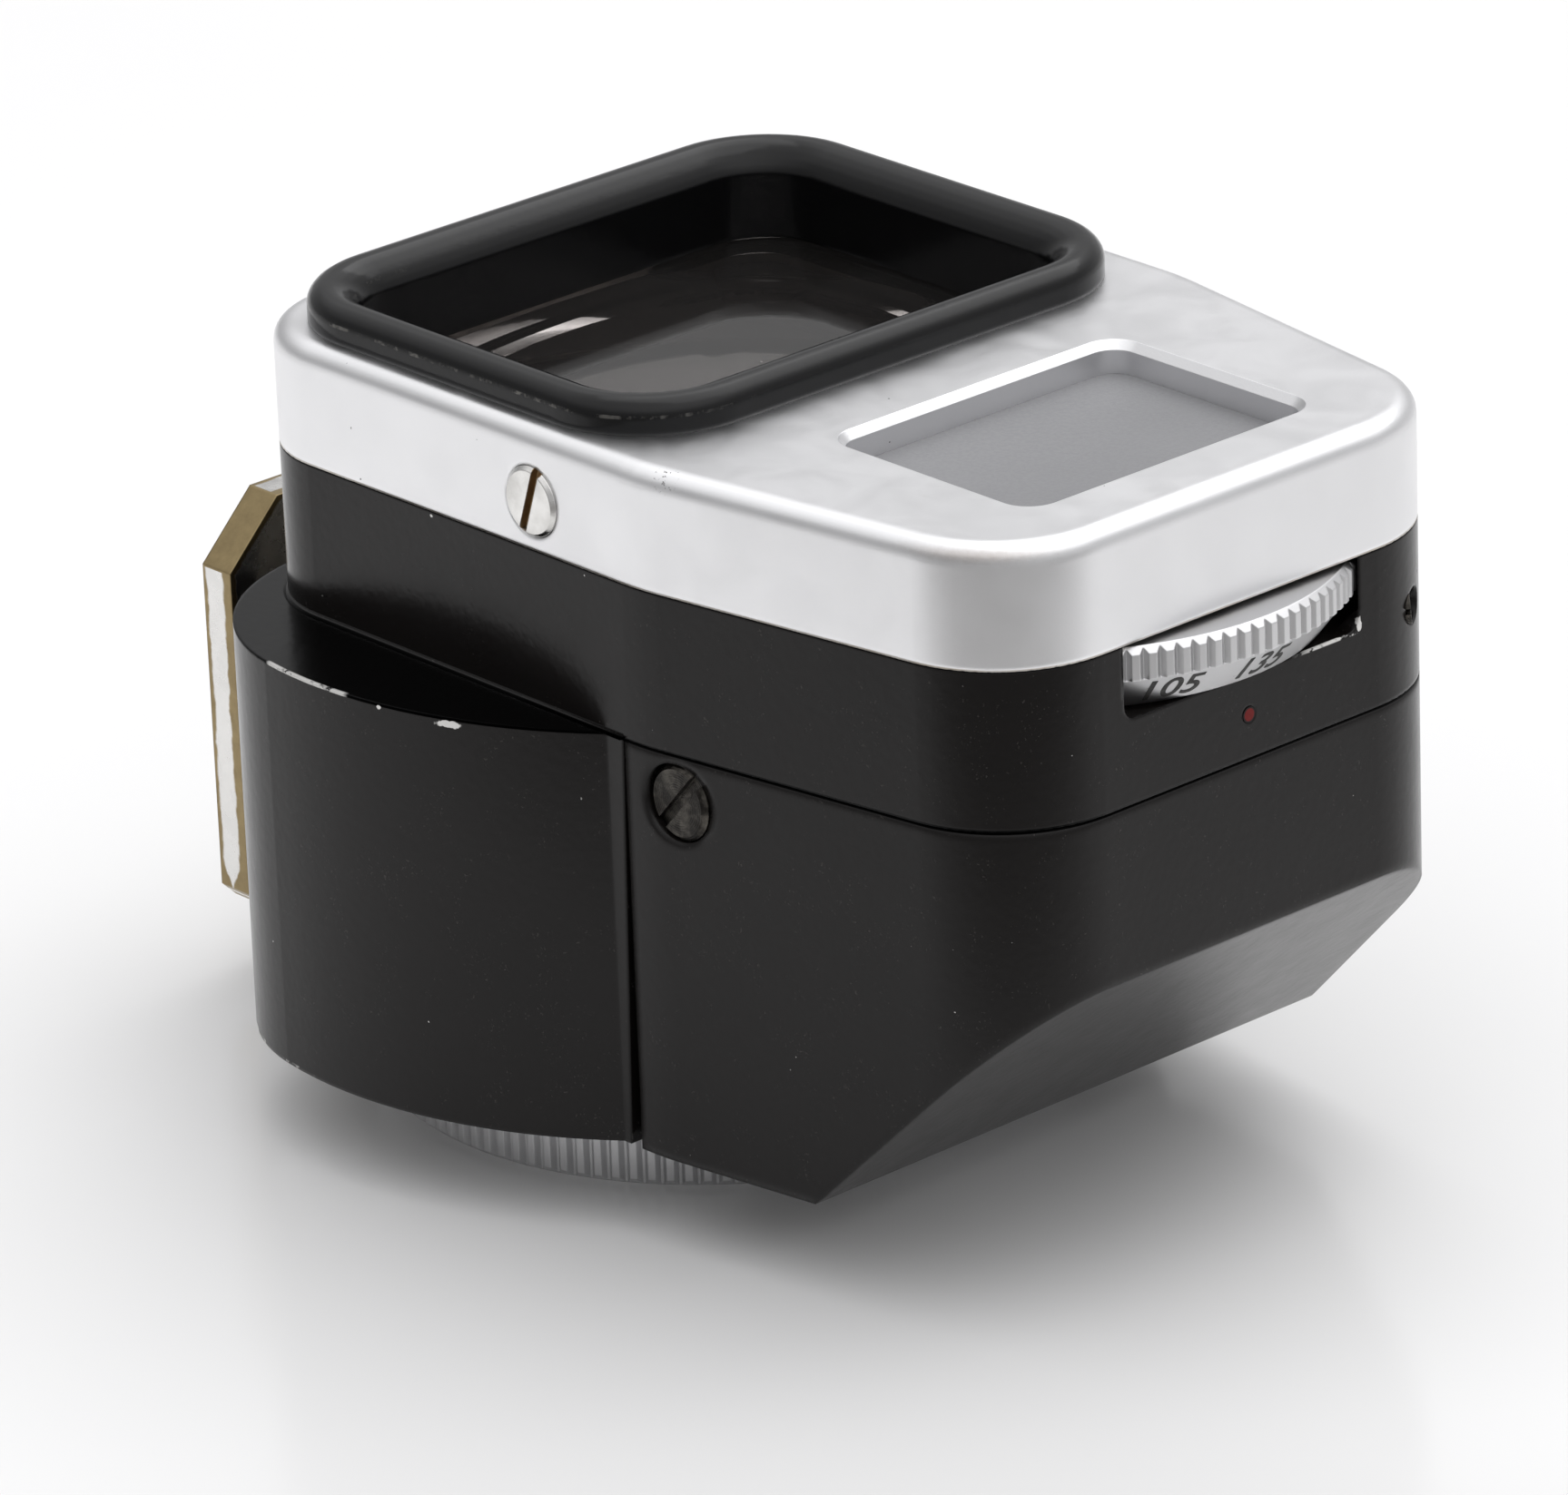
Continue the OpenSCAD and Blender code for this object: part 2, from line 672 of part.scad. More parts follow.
module parallax_ring() {
    start = 185;
    end = 180 - cam_turn - 5;
    color([0.8, 0.8, 0.8]) difference() {
        union() {
            intersection() {
                linear_extrude(2.55) knurled_circle(ring_r, ring_teeth, 0.28, 0.4, 0.16);
                rotate_extrude() polygon([[0, 0], [ring_r - 0.35, 0], [ring_r, 0.3], [ring_r, 3], [0, 3]]);
            }
            translate([0, 0, 2.5]) cylinder(h = ring_top_z - 2.5, r = ring_r - 0.1);
        }
        translate([0, 0, -1]) cylinder(h = 6, r = ring_bore_r);
        translate([0, 0, -1]) cylinder(h = 2.2, r = cell_flange_r + 0.1);
        translate([0, 0, groove_z]) linear_extrude(3) {
            polygon(concat(
                [for (a = [start : -5 : end]) (groove_r(a) - groove_half) * [cos(a), sin(a)]],
                [for (a = [end : 5 : start]) (groove_r(a) + groove_half) * [cos(a), sin(a)]]
            ));
        }
    }
}

// Foot seen from the front of its outer face
module foot_plate() {
    w = foot_w / 2;
    color([0.85, 0.85, 0.83]) difference() {
        translate([-foot_x, 0, 0]) rotate([90, 0, 90]) linear_extrude(foot_t) polygon([
            [-w + 0.7, foot_z], [w - 0.7, foot_z], [w, foot_z + 0.7], [w, foot_z + foot_l - foot_chamfer],
            [w - foot_chamfer, foot_z + foot_l], [-w + foot_chamfer, foot_z + foot_l],
            [-w, foot_z + foot_l - foot_chamfer], [-w, foot_z + 0.7]
        ]);
        at_foot_screws() foot_screw(gap);
    }
}

module at_foot_screws() {
    for (y = [-foot_hole_y, foot_hole_y], z = foot_hole_z) {
        translate([-foot_x, y, z]) rotate([0, 90, 0]) children();
    }
}

// Countersunk screw, made larger all round by grow for its hole
module foot_screw(grow) {
    head = 1.6 + grow;
    shank = foot_shank_r + grow;
    rotate_extrude() polygon([
        [0, -grow], [head, -grow], [head, 0.15], [shank, 0.15 + head - shank],
        [shank, foot_shank_l + grow], [0, foot_shank_l + grow]
    ]);
}

module foot_screws() {
    color([0.8, 0.8, 0.8]) at_foot_screws() difference() {
        foot_screw(0);
        rotate([0, 0, 25]) translate([-2, -0.2, -1]) cube([4, 0.4, 1.45]);
    }
}

module foot_bracket() {
    inner_x = -foot_x + foot_t;
    block_x = -17.3;
    color([0.3, 0.28, 0.22]) difference() {
        union() {
            translate([inner_x, -6.1, 4.1]) cube([block_x - inner_x, 12.2, 16.6]);
            translate([block_x - 1, -knuckle_y, pivot_z - 1.9]) {
                cube([pivot_x - block_x + 1, 2 * knuckle_y, 3.8]);
            }
            translate([pivot_x, -knuckle_y, pivot_z]) rotate([-90, 0, 0]) {
                cylinder(h = 2 * knuckle_y, r = 1.9);
            }
            translate([block_x - 1, -2.5, 4.1]) cube([-12.45 - block_x + 1, 5, 2.4]);
        }
        translate([pivot_x, -10, pivot_z]) rotate([-90, 0, 0]) cylinder(h = 20, r = pivot_r + run_fit);
        translate([-cam_r0, 0, 2]) cylinder(h = 4, r = cam_pin_r);
        at_foot_screws() foot_screw(gap);
    }
}

module cam_pin() {
    color([0.75, 0.75, 0.76]) translate([-cam_r0, 0, groove_z + 0.2]) cylinder(h = 2.9, r = cam_pin_r);
}

module pivot_pin() {
    color([0.7, 0.7, 0.7]) translate([pivot_x, -ear_y1, pivot_z]) rotate([-90, 0, 0]) {
        cylinder(h = 2 * ear_y1, r = pivot_r);
    }
}

module rear_cover() {
    slope_0 = slope_x - rear_z;
    color([0.11, 0.11, 0.11]) difference() {
        intersection() {
            translate([0, 0, rear_z]) linear_extrude(ledge_z - 0.05 - rear_z) outline();
            translate([cover_x, -20, 0]) cube([30, 40, 40]);
            above_slope(slope_0);
        }
        intersection() {
            translate([0, 0, rear_z + cover_wall]) linear_extrude(30) outline(cover_wall);
            translate([cover_x - 1, -20, 0]) cube([40, 40, 40]);
            above_slope(slope_0 - cover_wall * sqrt(2));
        }
        both_sides() translate([cover_screw_x, 0, cover_screw_z]) rotate([90, 0, 0]) {
            cylinder(h = 20, r = thread_r + 0.1);
            translate([0, 0, side_y - cover_screw_seat]) cylinder(h = 3, r = cover_screw_r + 0.06);
        }
    }
}

main_casting();
front_cap();
rear_cover();
window_bezel();
front_lens();
inner_plate();
frosted_window();
pane_frame();
focal_dial();
selector_disc();
frame_reticle();
index_dot();
detent_screw();
detent_spring();
detent_ball();
cap_screws();
cover_screws();
plate_screws();
beam_splitter();
splitter_holder();
frame_mirror();
mirror_holder();
eyepiece_lens();
eyepiece_cell();
eyepiece_retainer();
parallax_ring();
foot_plate();
foot_bracket();
cam_pin();
foot_screws();
pivot_pin();
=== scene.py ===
"""Looks of the shoe-mounted camera viewfinder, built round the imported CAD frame. Metres, +Z up."""

import json
import math

import bmesh
import bpy
from mathutils import Matrix, Vector


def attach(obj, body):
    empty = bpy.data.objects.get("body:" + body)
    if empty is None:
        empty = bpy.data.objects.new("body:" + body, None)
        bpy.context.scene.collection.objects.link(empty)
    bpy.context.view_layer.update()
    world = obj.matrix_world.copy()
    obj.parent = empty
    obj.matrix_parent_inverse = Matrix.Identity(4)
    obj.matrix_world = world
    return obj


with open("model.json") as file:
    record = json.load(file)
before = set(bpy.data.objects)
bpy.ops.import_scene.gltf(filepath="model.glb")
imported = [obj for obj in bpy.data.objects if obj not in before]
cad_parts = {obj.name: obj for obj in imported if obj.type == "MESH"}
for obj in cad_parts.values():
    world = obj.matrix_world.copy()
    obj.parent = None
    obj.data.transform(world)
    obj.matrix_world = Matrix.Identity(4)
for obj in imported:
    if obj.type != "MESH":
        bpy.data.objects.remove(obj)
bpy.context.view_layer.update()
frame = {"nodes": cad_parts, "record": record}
nodes = frame["nodes"]
MM = 0.001
scene = bpy.context.scene

# Sizes and places on the part that the looks refer to, in mm
BARREL_X, BARREL_R = -1.7, 19.65
BARREL_LOW_Z, LEDGE_Z = 4.0, 21.6
CAP_SEAM_Z, COVER_SEAM_Z = 28.2, 21.58
BEZEL_SHOULDER_Z = 34.02
END_X = 31.3
WINDOW_X, WINDOW_HALF = 22.1, (6.6, 8.6)
CAP_SCREW_X, CAP_SCREW_Z, CAP_SLOT_DEG = 7.1, 30.25, 71
COVER_SCREW = (14.75, 0, 19.55)
INDEX_DOT = (END_X, 0.3, 23.4)
FOOT_HALF_W, FOOT_TOP, FOOT_LOW, FOOT_CUT = 9.3, 21.1, 3.1, 2.75
FOOT_FACE_X, FOOT_BACK_X = -21.25, -19.65
DIAL_X, DIAL_STOP_DEG = 21.1, 21.6
BEVEL_LOW, BEVEL_TOP = (10.65, 25.2), (11.73, 26.65)

# The studio, in metres and watts
LIT_FROM = (-0.04, 0.44, 0.93)
SOFTBOX_AWAY, SOFTBOX_SIDE, SOFTBOX_WATTS = 0.9, 1.0, 2.6
SOFTBOX_AIM = (0.005, 0, 0.015)
BRIGHT_SKY = (0.6, 0.7, 0.4)
FLOOR_HALF, FLOOR_DROP = 1.5, 0.00002

# The photograph's camera: lens in mm, angles in degrees, places in metres
LENS = 234.3
AZIMUTH, ELEVATION, ROLL = 48.468, 22.588, -2.143
TARGET = (0.00326, 0, 0.02094)
SIDEWAYS, UPWARDS, BACKWARDS = 0.001054, -0.00628, 0.41435


# ---------------------------------------------------------------- materials


class Shader:
    """A Principled material whose nodes read object coordinates in millimetres."""

    def __init__(self, name, color, roughness=0.5, metallic=0.0, **sockets):
        self.material = bpy.data.materials.new(name)
        self.material.use_nodes = True
        self.tree = self.material.node_tree
        self.bsdf = self.tree.nodes["Principled BSDF"]
        coords = self.tree.nodes.new("ShaderNodeTexCoord").outputs["Object"]
        self.mm = self.vector("SCALE", coords, scale=1000)
        split = self.node("ShaderNodeSeparateXYZ", {"Vector": self.mm})
        self.x, self.y, self.z = split.outputs
        self.set("Base Color", color)
        self.set("Roughness", roughness)
        self.set("Metallic", metallic)
        for key, value in sockets.items():
            self.set(key.replace("_", " "), value)

    def put(self, socket, value):
        """Links a node's output to a socket, or stores a number or colour on it."""
        if isinstance(value, bpy.types.NodeSocket):
            self.tree.links.new(value, socket)
        elif hasattr(value, "__len__") and len(value) == 3 and socket.type == "RGBA":
            socket.default_value = (*value, 1)
        else:
            socket.default_value = value

    def set(self, name, value):
        """Sets or links one of the Principled shader's own sockets."""
        self.put(self.bsdf.inputs[name], value)

    def node(self, kind, inputs=None, **settings):
        made = self.tree.nodes.new(kind)
        for key, value in settings.items():
            setattr(made, key, value)
        for key, value in (inputs or {}).items():
            self.put(made.inputs[key], value)
        return made

    def vector(self, operation, a, b=None, scale=None):
        made = self.tree.nodes.new("ShaderNodeVectorMath")
        made.operation = operation
        self.put(made.inputs[0], a)
        if b is not None:
            self.put(made.inputs[1], b)
        if scale is not None:
            self.put(made.inputs["Scale"], scale)
        return made.outputs["Value" if operation in ("LENGTH", "DISTANCE") else "Vector"]

    def math(self, operation, a, b=None):
        made = self.node("ShaderNodeMath", {0: a}, operation=operation)
        if b is not None:
            self.put(made.inputs[1], b)
        return made.outputs[0]

    def ramp(self, value, low, high, out_low=0.0, out_high=1.0):
        """value's way from low to high, as out_low to out_high, held beyond both ends."""
        made = self.node(
            "ShaderNodeMapRange",
            {0: value, 1: low, 2: high, 3: out_low, 4: out_high},
            interpolation_type="SMOOTHSTEP",
        )
        return made.outputs[0]

    def noise(self, per_mm, detail=3.0, roughness=0.5, distortion=0.0):
        made = self.node(
            "ShaderNodeTexNoise",
            {
                "Vector": self.mm,
                "Scale": per_mm,
                "Detail": detail,
                "Roughness": roughness,
                "Distortion": distortion,
            },
        )
        return made.outputs[0]

    def mottle(self, per_mm, detail, roughness, low, high):
        """Noise whose middle range is spread from low to high."""
        return self.ramp(self.noise(per_mm, detail, roughness), 0.3, 0.7, low, high)

    def between(self, kind, amount, a, b):
        made = self.tree.nodes.new("ShaderNodeMix")
        made.data_type = kind
        sockets = [s for s in made.inputs if s.enabled]
        for socket, value in zip(sockets, (amount, a, b)):
            self.put(socket, value)
        return [s for s in made.outputs if s.enabled][0]

    def mix(self, amount, a, b):
        """Mixes two colours or directions."""
        return self.between("RGBA", amount, a, b)

    def blend(self, amount, a, b):
        """Mixes two plain numbers."""
        return self.between("FLOAT", amount, a, b)

    def near(self, point, radius, soft=0.5):
        """1 within radius mm of a point given in mm, 0 beyond it."""
        far = self.vector("DISTANCE", self.mm, point)
        return self.ramp(far, radius * (1 + soft), radius * (1 - soft))

    def blotch(self, point, size, ragged=0.5, soft=0.1):
        """1 in a ragged patch of the given half sizes in mm about a point, 0 beyond it."""
        away = self.vector("SUBTRACT", self.mm, point)
        away = self.vector("MULTIPLY", away, [1 / v for v in size])
        far = self.vector("LENGTH", away)
        centred = self.math("SUBTRACT", self.noise(3.5, 4, 0.65), 0.5)
        uneven = self.math("MULTIPLY", centred, ragged * 3)
        return self.ramp(self.math("ADD", far, uneven), 1 + soft, 1 - soft)

    def band(self, value, centre, half, soft):
        """1 where value is within half of centre, falling to 0 over soft."""
        away = self.math("ABSOLUTE", self.math("SUBTRACT", value, centre))
        return self.ramp(away, half + soft, half)

    def joined(self, operation, values):
        result = values[0]
        for value in values[1:]:
            result = self.math(operation, result, value)
        return result

    def product(self, *values):
        return self.joined("MULTIPLY", values)

    def most(self, *values):
        return self.joined("MAXIMUM", values)

    def least(self, *values):
        return self.joined("MINIMUM", values)

    def bump(self, height, distance_mm, normal=None):
        inputs = {"Height": height, "Distance": distance_mm * MM, "Strength": 1.0}
        if normal is not None:
            inputs["Normal"] = normal
        return self.node("ShaderNodeBump", inputs).outputs[0]

    def rounded(self, radius_mm):
        """Normals of edges rounded to a small radius."""
        return self.node("ShaderNodeBevel", {"Radius": radius_mm * MM}, samples=8).outputs[0]


def black_enamel(name, edge_r_mm):
    """Semi-gloss enamel: faint orange peel, dust, and chips down to white metal."""
    s = Shader(name, (0.006, 0.005, 0.0048), 0.24)
    s.set("Specular IOR Level", 0.25)
    # Chips on the barrel's upper and lower rims
    from_axis = s.vector("SUBTRACT", s.mm, (BARREL_X, 0, 0))
    around = s.vector("LENGTH", s.vector("MULTIPLY", from_axis, (1, 1, 0)))
    streak = s.product(
        s.band(around, BARREL_R, 0.13, 0.06),
        s.band(s.z, LEDGE_Z - 0.05, 0.035, 0.05),
        s.band(s.x, -2.0, 2.3, 0.3),
        s.ramp(s.y, -10, -15),
        s.ramp(s.noise(1.6, 5, 0.75), 0.36, 0.44),
    )
    low_rim = s.product(
        s.band(s.z, BARREL_LOW_Z, 0.05, 0.06),
        s.ramp(s.x, -2, -6),
        s.ramp(s.y, -8, -12),
        s.ramp(s.noise(0.9, 4, 0.7), 0.5, 0.57),
    )
    spots = s.most(
        s.blotch((5.3, -18.35, 21.33), (0.62, 0.5, 0.15)),
        s.blotch((2.2, -19.25, 21.45), (0.13, 0.13, 0.1)),
        s.blotch((0.9, -14.9, 28.0), (0.1, 0.2, 0.08)),
    )
    # Paint rubbed off at the end of the dial's slot, and a tiny dark dot over the click-stop screw
    slot_end = s.blotch((END_X, 6.38, 25.3), (0.25, 0.13, 0.3), 0.6)
    slot_sill = s.product(
        s.band(s.z, 25.08, 0.05, 0.06),
        s.band(s.x, END_X, 0.08, 0.05),
        s.ramp(s.y, 2.6, 4.0),
        s.ramp(s.y, 6.4, 6.0),
        s.ramp(s.noise(1.1, 4, 0.7), 0.42, 0.5),
    )
    dark_dot = s.near((30.3, 10.8, 26.05), 0.14, 0.2)
    # Tiny nicks spread over the outside
    nicks = s.product(
        s.ramp(s.noise(3.1, 2, 0.5), 0.785, 0.8), s.ramp(s.noise(0.35, 2, 0.5), 0.5, 0.56)
    )
    chips = s.most(streak, low_rim, spots, slot_end, slot_sill, nicks)
    paint = s.mix(s.noise(0.25, 3), (0.0045, 0.0036, 0.0033), (0.0075, 0.0062, 0.0058))
    dust = s.product(s.ramp(s.noise(9, 2), 0.66, 0.7), s.ramp(s.noise(0.8, 2), 0.5, 0.6))
    paint = s.mix(s.math("MULTIPLY", dust, 0.2), paint, (0.16, 0.15, 0.14))
    # Dark lines where the cap and the rear cover meet the band
    seams = s.most(
        s.band(s.z, CAP_SEAM_Z, 0.03, 0.03), s.band(s.z, COVER_SEAM_Z, 0.08, 0.03), dark_dot
    )
    paint = s.mix(seams, paint, (0.001, 0.001, 0.001))
    s.set("Base Color", s.mix(chips, paint, (0.78, 0.77, 0.75)))
    s.set("Metallic", s.most(s.math("MULTIPLY", chips, 0.6), seams))
    mottled = s.mottle(0.6, 4, 0.6, 0.2, 0.235)
    s.set("Roughness", s.blend(s.most(chips, dark_dot), mottled, 0.45))
    peel = s.bump(s.noise(2.4, 2, 0.4), 0.008, s.rounded(edge_r_mm))
    s.set("Normal", s.bump(s.math("SUBTRACT", 1.0, chips), 0.03, peel))
    return s.material


def satin_chrome(name, edge_r_mm, low_rough, high_rough, shade=1.0):
    """Fine matte chrome: an even grain, faint handling marks, and a few dark pits; shade below 1
    darkens the whole surface as painted shade.
    """
    s = Shader(name, (0.7, 0.7, 0.71), high_rough, 1.0)
    pits = s.most(
        s.product(s.near((14.6, -14.6, 33.15), 0.55), s.ramp(s.noise(5.5, 3, 0.6), 0.6, 0.66)),
        s.near((END_X, 9.7, 32.0), 0.11, 0.3),
        s.near((31.1, 10.9, 30.4), 0.07, 0.3),
        s.product(s.ramp(s.noise(2.9, 2), 0.79, 0.8), s.ramp(s.noise(0.21, 2), 0.5, 0.55)),
    )
    tone = s.mix(s.noise(0.16, 4, 0.6), (0.83, 0.83, 0.84), (0.88, 0.88, 0.89))
    # Brownish rub on the corner of the cap, and the yellowed lower edge
    rub = s.blotch((28.4, -11.0, 32.85), (2.2, 2.2, 0.22), 0.2, 0.8)
    edge = s.product(s.band(s.z, CAP_SEAM_Z, 0.05, 0.05), s.noise(0.6, 3))
    tone = s.mix(s.math("MULTIPLY", rub, 0.55), tone, (0.3, 0.24, 0.2))
    tone = s.mix(edge, tone, (0.35, 0.28, 0.18))
    # The pits' colour; shade below 1 also mixes the whole tone towards it, as painted shade
    dark = (0.05, 0.045, 0.04)
    tone = s.mix(1.0 - shade, tone, dark)
    s.set("Base Color", s.mix(pits, tone, dark))
    s.set("Metallic", s.math("SUBTRACT", 1.0, s.math("MULTIPLY", pits, 0.8)))
    grain = s.noise(14, 3, 0.7)
    smear = s.noise(0.35, 4, 0.55, distortion=0.6)
    rough = s.ramp(smear, 0.3, 0.7, low_rough, high_rough)
    s.set("Roughness", s.math("ADD", rough, s.math("MULTIPLY", grain, 0.05)))
    # The window's edges stay crisp, the outside ones are rounded over
    at_window = s.product(
        s.band(s.x, WINDOW_X, WINDOW_HALF[0], 0.6), s.band(s.y, 0, WINDOW_HALF[1], 0.6)
    )
    normal = s.mix(at_window, s.rounded(edge_r_mm), s.rounded(0.04))
    s.set("Normal", s.bump(grain, 0.005, normal))
    return s.material


def gloss_black():
    """Glossy black enamel with a faint worn line on the bezel's outer shoulder."""
    s = Shader("gloss_black", (0.008, 0.008, 0.0085), 0.12)
    s.set("Specular IOR Level", 0.3)
    worn = s.product(
        s.band(s.z, BEZEL_SHOULDER_Z, 0.04, 0.05),
        s.ramp(s.noise(1.3, 5, 0.75), 0.48, 0.66),
        s.ramp(s.y, -6, -13.6),
    )
    s.set("Base Color", s.mix(worn, (0.004, 0.004, 0.0043), (0.15, 0.145, 0.135)))
    s.set("Metallic", s.math("MULTIPLY", worn, 0.7))
    s.set("Roughness", s.ramp(s.noise(0.8, 4, 0.6), 0.3, 0.75, 0.09, 0.17))
    s.set("Normal", s.bump(s.noise(2.2, 3), 0.006, s.rounded(0.3)))
    return s.material


def worn_chrome():
    """Chromed brass, worn through to the brass along every edge."""
    s = Shader("worn_chrome", (0.75, 0.74, 0.72), 0.24, 1.0)
    # How far a point lies inside each edge of the foot's outline, and of its thickness
    y = s.math("ABSOLUTE", s.y)
    to_side = s.math("SUBTRACT", FOOT_HALF_W, y)
    to_top = s.math("SUBTRACT", FOOT_TOP, s.z)
    to_low = s.math("SUBTRACT", s.z, FOOT_LOW)
    past_cut = s.math("SUBTRACT", FOOT_HALF_W + FOOT_TOP - FOOT_CUT, s.math("ADD", y, s.z))
    to_cut = s.math("MULTIPLY", past_cut, 0.7071)
    plan = s.least(to_side, to_top, to_low, to_cut)
    through = s.least(s.math("SUBTRACT", s.x, FOOT_FACE_X), s.math("SUBTRACT", FOOT_BACK_X, s.x))
    # The chrome left on the side ends in a rounded tip
    through = s.math("SUBTRACT", through, s.ramp(to_low, 1.9, 0.4, 0.0, 0.6))
    uneven = s.math("MULTIPLY", s.math("SUBTRACT", s.noise(0.9, 4, 0.6), 0.5), 0.45)
    ragged = s.math("ADD", s.most(plan, through), uneven)
    on_cut = s.math("LESS_THAN", to_cut, 0.06)
    brass = s.most(s.ramp(ragged, 0.34, 0.2), on_cut)
    stain = s.mix(s.noise(1.1, 4, 0.65), (0.4, 0.31, 0.16), (0.2, 0.15, 0.08))
    plate = s.mix(s.noise(0.5, 4), (0.72, 0.71, 0.69), (0.84, 0.83, 0.81))
    s.set("Base Color", s.mix(brass, plate, stain))
    s.set("Roughness", s.blend(brass, s.mottle(0.9, 4, 0.5, 0.18, 0.34), 0.36))
    s.set("Normal", s.bump(s.noise(3, 3), 0.01, s.rounded(0.12)))
    return s.material


def metal(name, dark, light, roughness, grain_per_mm=4.0, metallic=1.0):
    """Plain metal or blackened metal with a mottled tone and a fine grain."""
    s = Shader(name, light, roughness, metallic)
    s.set("Base Color", s.mix(s.mottle(0.7, 4, 0.6, 0, 1), dark, light))
    s.set("Roughness", s.mottle(1.1, 3, 0.5, roughness * 0.8, roughness * 1.2))
    s.set("Normal", s.bump(s.noise(grain_per_mm, 3, 0.6), 0.006, s.rounded(0.05)))
    return s.material


def nickel_screw():
    """Bright screw heads, dirty brass in the slot."""
    s = Shader("bright_nickel", (0.8, 0.79, 0.77), 0.16, 1.0)
    slot = math.radians(CAP_SLOT_DEG)
    across = s.math(
        "ADD",
        s.math("MULTIPLY", s.math("SUBTRACT", s.x, CAP_SCREW_X), -math.sin(slot)),
        s.math("MULTIPLY", s.math("SUBTRACT", s.z, CAP_SCREW_Z), math.cos(slot)),
    )
    below_head = s.ramp(s.math("ABSOLUTE", s.y), 15.15, 15.08)
    in_slot = s.product(below_head, s.band(across, 0, 0.23, 0.03))
    bright = s.mix(s.mottle(0.7, 4, 0.6, 0, 1), (0.62, 0.61, 0.59), (0.84, 0.83, 0.81))
    dirt = s.mix(s.noise(2.5, 4), (0.16, 0.1, 0.05), (0.5, 0.36, 0.2))
    s.set("Base Color", s.mix(in_slot, bright, dirt))
    s.set("Roughness", s.blend(in_slot, s.mottle(1.1, 3, 0.5, 0.12, 0.2), 0.5))
    s.set("Normal", s.bump(s.noise(4, 3, 0.6), 0.005, s.rounded(0.08)))
    return s.material


def turned_steel():
    """Blackened screw heads with the rings left by turning."""
    s = Shader("black_steel", (0.06, 0.055, 0.05), 0.3, 0.9)
    offset = s.vector("SUBTRACT", s.mm, COVER_SCREW)
    from_axis = s.vector("LENGTH", s.vector("MULTIPLY", offset, (1, 0, 1)))
    rings = s.math("SINE", s.math("MULTIPLY", from_axis, 60.0))
    bright = s.ramp(s.noise(1.4, 4, 0.7), 0.4, 0.7)
    s.set("Base Color", s.mix(bright, (0.02, 0.018, 0.016), (0.085, 0.078, 0.068)))
    s.set("Roughness", s.mottle(2.0, 3, 0.5, 0.22, 0.4))
    s.set("Normal", s.bump(rings, 0.004, s.rounded(0.05)))
    return s.material


def frosted_glass():
    """Ground glass that lets light down to the frame lines."""
    s = Shader("frosted_glass", (0.3, 0.3, 0.31), 0.42)
    s.set("Specular IOR Level", 0.35)
    s.set("Base Color", s.mix(s.noise(0.12, 3), (0.2, 0.2, 0.208), (0.25, 0.25, 0.26)))
    s.set("Roughness", s.mottle(6, 3, 0.5, 0.36, 0.5))
    s.set("Normal", s.bump(s.noise(11, 2, 0.6), 0.008))
    return s.material


def clear_glass(name, tint, haze=0.0, clarity=1.0):
    """Polished glass with the faintest smears; clarity is how much of it lets light through."""
    s = Shader(name, tint, haze, Transmission_Weight=clarity, IOR=1.5)
    s.set("Base Color", s.mix(s.noise(0.3, 3), tint, [0.95 * part for part in tint]))
    s.set("Roughness", s.ramp(s.noise(0.5, 4, 0.6), 0.45, 0.8, haze, haze + 0.05))
    s.set("Normal", s.bump(s.noise(0.9, 2), 0.0015))
    return s.material


def silvered():
    """Front-silvered mirror with a slightly cloudy coat."""
    s = Shader("mirror_glass", (0.85, 0.86, 0.88), 0.03, 1.0)
    s.set("Base Color", s.mix(s.noise(0.4, 3), (0.81, 0.82, 0.84), (0.88, 0.89, 0.91)))
    s.set("Roughness", s.ramp(s.noise(0.6, 4), 0.4, 0.8, 0.02, 0.1))
    return s.material


def red_enamel():
    """Dull red in the index's well, dark at the rim."""
    s = Shader("red_enamel", (0.16, 0.005, 0.005), 0.4)
    s.set("Specular IOR Level", 0.2)
    red = s.mix(s.noise(6, 3), (0.12, 0.003, 0.003), (0.2, 0.006, 0.005))
    # The enamel doesn't reach the rim of its well
    filled = s.near(INDEX_DOT, 0.26, 0.12)
    s.set("Base Color", s.mix(filled, (0.006, 0.005, 0.005), red))
    s.set("Normal", s.bump(s.noise(8, 2), 0.01))
    return s.material


looks = {
    "black_enamel": black_enamel("black_enamel", 0.2),
    "satin_chrome": satin_chrome("satin_chrome", 0.3, 0.27, 0.33),
    "gloss_black": gloss_black(),
    "lens_glass": clear_glass("lens_glass", (0.85, 0.79, 0.76), 0.0, 0.99),
    "half_mirror": clear_glass("half_mirror", (0.62, 0.6, 0.56), 0.02),
    "frosted_glass": frosted_glass(),
    "mirror_glass": silvered(),
    "blackened_brass": metal(
        "blackened_brass", (0.012, 0.011, 0.01), (0.03, 0.027, 0.022), 0.5, 5, 0.3
    ),
    "nickel_silver": metal("nickel_silver", (0.34, 0.33, 0.3), (0.55, 0.53, 0.48), 0.35),
    "raw_brass": metal("raw_brass", (0.42, 0.27, 0.1), (0.75, 0.53, 0.24), 0.28),
    "worn_chrome": worn_chrome(),
    "bright_nickel": nickel_screw(),
    "black_steel": turned_steel(),
    "spring_steel": metal("spring_steel", (0.4, 0.4, 0.41), (0.62, 0.62, 0.63), 0.2),
    "red_enamel": red_enamel(),
}
